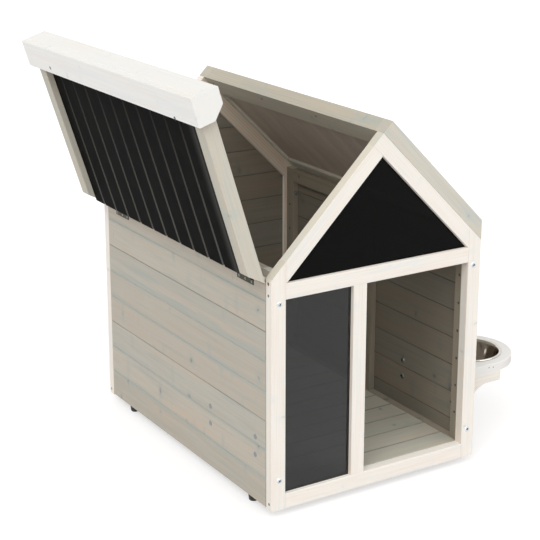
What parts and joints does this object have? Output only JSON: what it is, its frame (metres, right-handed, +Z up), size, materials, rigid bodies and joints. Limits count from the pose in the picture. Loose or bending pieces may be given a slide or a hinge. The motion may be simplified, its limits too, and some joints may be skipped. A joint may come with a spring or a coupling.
{
  "type": "dog kennel",
  "caption": "Gabled wooden dog kennel, hinged roof side open on a slotted stay, dark front window and gable pane, open doorway, side shelf with a lift-out steel bowl.",
  "frame": {"origin": "on the ground, in the middle of the whole object as it stands with its roof lid open and its bowl shelf on", "axes": "+X to the right seen from the doorway, -Y out of the doorway, +Z up"},
  "size_m": [1.0441, 0.894, 1.0459],
  "materials": {
    "white_washed_fir": "thin white stain on planed fir",
    "white_painted_fir": "opaque white stain on planed fir",
    "grey_washed_fir": "thin grey stain on planed fir boards",
    "floor_fir": "thin pale grey stain on planed fir boards",
    "brown_plywood": "raw brown plywood",
    "smoked_acrylic": "dark smoked acrylic, polished",
    "black_roof_sheet": "black ribbed roofing sheet, satin",
    "dark_zinc_hinge": "aged zinc plate",
    "zinc_fastener": "bright zinc plate",
    "polished_steel": "polished stainless steel",
    "grey_plastic": "moulded grey plastic",
    "black_plastic": "moulded black plastic"
  },
  "bodies": {
    "root": {"back_boards": "grey_washed_fir", "back_bottom_rail": "white_washed_fir", "back_post_left": "white_washed_fir", "back_post_right": "white_washed_fir", "back_rafter_left": "white_washed_fir", "back_rafter_right": "white_washed_fir", "bowl_brackets": "white_washed_fir", "bowl_holder_board": "white_washed_fir", "bracket_bolts": "zinc_fastener", "door_mullion": "white_washed_fir", "feet": "black_plastic", "floor_bearers": "floor_fir", "floor_boards": "floor_fir", "foot_screws": "zinc_fastener", "frame_bolts": "zinc_fastener", "frame_nuts": "zinc_fastener", "front_bottom_rail": "white_washed_fir", "front_cross_rail": "white_washed_fir", "front_post_left": "white_washed_fir", "front_post_right": "white_washed_fir", "front_rafter_left": "white_washed_fir", "front_rafter_right": "white_washed_fir", "gable_pane": "smoked_acrylic", "hinge_pins": "dark_zinc_hinge", "hinge_wall_leaves": "dark_zinc_hinge", "hinge_wall_screws": "zinc_fastener", "left_wall_boards": "grey_washed_fir", "left_wall_bottom_rail": "grey_washed_fir", "left_wall_stiles": "grey_washed_fir", "left_wall_top_rail": "grey_washed_fir", "right_roof_eave_rail": "grey_washed_fir", "right_roof_ply": "brown_plywood", "right_roof_ridge_rail": "grey_washed_fir", "right_roof_sheet": "black_roof_sheet", "right_roof_verges": "grey_washed_fir", "right_wall_boards": "grey_washed_fir", "right_wall_bottom_rail": "grey_washed_fir", "right_wall_stiles": "grey_washed_fir", "right_wall_top_rail": "grey_washed_fir", "stay_guide_screw": "zinc_fastener", "wall_plugs": "grey_plastic", "window_pane": "smoked_acrylic"},
    "lid": {"hinge_lid_leaves": "dark_zinc_hinge", "hinge_lid_screws": "zinc_fastener", "lid_eave_rail": "grey_washed_fir", "lid_ply": "brown_plywood", "lid_ridge_rail": "grey_washed_fir", "lid_sheet": "black_roof_sheet", "lid_verges": "grey_washed_fir", "ridge_cap_board_left": "white_painted_fir", "ridge_cap_board_right": "white_painted_fir", "ridge_cap_ends": "white_painted_fir", "stay_plate": "zinc_fastener", "stay_plate_screws": "zinc_fastener", "stay_rivet": "zinc_fastener"},
    "stay": {"stay_bar": "zinc_fastener"},
    "bowl": {"food_bowl": "polished_steel"}
  },
  "joints": [
    {"name": "lid_hinge", "type": "hinge", "parent": "root", "child": "lid", "pos_m": [-0.31832, 0, 0.575], "axis": [0, 1, 0], "range_deg": [0, 62.5]},
    {"name": "stay_pivot", "type": "hinge", "parent": "lid", "child": "stay", "pos_m": [-0.36971, 0.3885, 0.73158], "axis": [0, 1, 0], "range_deg": [-31.25, 0]},
    {"name": "bowl_lift", "type": "slide", "parent": "root", "child": "bowl", "axis": [0, 0, 1], "range_m": [0, 0.12]}
  ],
  "couplings": [
    {"joint": "stay_pivot", "follows": "lid_hinge", "ratio": -0.5}
  ]
}
